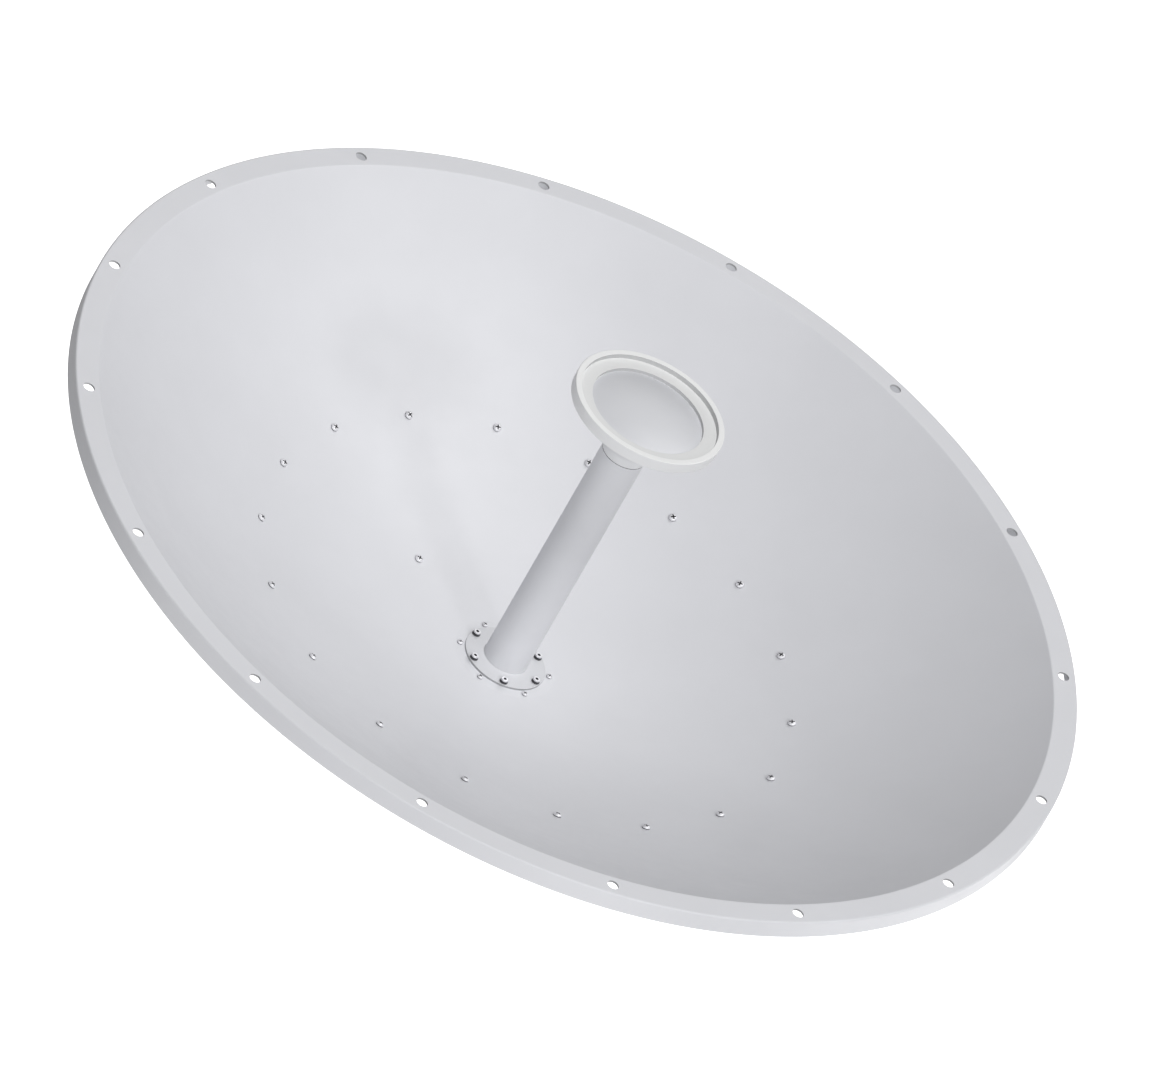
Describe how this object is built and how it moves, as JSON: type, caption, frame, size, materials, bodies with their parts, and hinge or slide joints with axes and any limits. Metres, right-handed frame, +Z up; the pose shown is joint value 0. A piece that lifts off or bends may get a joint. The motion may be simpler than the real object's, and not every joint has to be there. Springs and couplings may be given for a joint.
{
  "type": "parabolic dish antenna",
  "caption": "Solid parabolic dish antenna with a centre feed, backing pan, dual-port transducer and a tilting and swivelling pole mount.",
  "frame": {"origin": "on the axis of the pole that the mount clamps, midway between the two U-bolts", "axes": "+Z up along the pole; the dish looks along -Y; +X is to the dish's left when one stands behind the pole and looks forward"},
  "size_m": [1.05, 0.5726, 1.05],
  "materials": {
    "reflector_paint": "satin powder coat",
    "pan_paint": "satin powder coat",
    "feed_tube_finish": "satin painted aluminium tube",
    "cap_plastic": "fine moulded texture",
    "dielectric_plastic": "smooth turned plastic",
    "screw_steel": "zinc plated",
    "bolt_steel": "dark zinc plated",
    "mount_bolt_steel": "zinc plated",
    "cast_aluminium": "machined",
    "connector_plating": "nickel-bronze plated",
    "gasket_rubber": "matt",
    "galvanised_steel": "hot-dip galvanised"
  },
  "bodies": {
    "pole_clamp": {"azimuth_pivot_bolt": "mount_bolt_steel", "pole_bracket": "galvanised_steel", "pole_saddle_lower": "galvanised_steel", "pole_saddle_upper": "galvanised_steel", "u_bolt_lower": "galvanised_steel", "u_bolt_upper": "galvanised_steel"},
    "yoke": {"azimuth_lock_bolt": "mount_bolt_steel", "azimuth_yoke": "galvanised_steel", "elevation_lock_bolt_left": "mount_bolt_steel", "elevation_lock_bolt_right": "mount_bolt_steel", "elevation_pivot_bolt_left": "mount_bolt_steel", "elevation_pivot_bolt_right": "mount_bolt_steel"},
    "dish": {"back_pan": "pan_paint", "dielectric_cone": "dielectric_plastic", "elevation_bracket": "galvanised_steel", "feed_cap": "cap_plastic", "feed_gasket": "gasket_rubber", "feed_tube": "feed_tube_finish", "flange_bolt_1": "bolt_steel", "flange_bolt_2": "bolt_steel", "flange_bolt_3": "bolt_steel", "flange_bolt_4": "bolt_steel", "flange_bolt_5": "bolt_steel", "flange_bolt_6": "bolt_steel", "ground_lug": "connector_plating", "ground_screw": "screw_steel", "hub_plate": "galvanised_steel", "hub_screw_1": "screw_steel", "hub_screw_2": "screw_steel", "hub_screw_3": "screw_steel", "hub_screw_4": "screw_steel", "hub_screw_5": "screw_steel", "hub_screw_6": "screw_steel", "orthomode_transducer": "cast_aluminium", "radio_bracket": "galvanised_steel", "reflector": "reflector_paint", "rf_connector_h": "connector_plating", "rf_connector_v": "connector_plating", "ring_screw_01": "screw_steel", "ring_screw_02": "screw_steel", "ring_screw_03": "screw_steel", "ring_screw_04": "screw_steel", "ring_screw_05": "screw_steel", "ring_screw_06": "screw_steel", "ring_screw_07": "screw_steel", "ring_screw_08": "screw_steel", "ring_screw_09": "screw_steel", "ring_screw_10": "screw_steel", "ring_screw_11": "screw_steel", "ring_screw_12": "screw_steel", "ring_screw_13": "screw_steel", "ring_screw_14": "screw_steel", "ring_screw_15": "screw_steel", "ring_screw_16": "screw_steel", "ring_screw_17": "screw_steel", "ring_screw_18": "screw_steel", "sub_reflector": "cast_aluminium"}
  },
  "joints": [
    {"name": "azimuth_swivel", "type": "hinge", "parent": "pole_clamp", "child": "yoke", "pos_m": [0, -0.08, 0], "axis": [0, 0, 1], "range_deg": [-10, 10]},
    {"name": "elevation_tilt", "type": "hinge", "parent": "yoke", "child": "dish", "pos_m": [0, -0.108, -0.03], "axis": [-1, 0, 0], "range_deg": [-10, 20]}
  ]
}
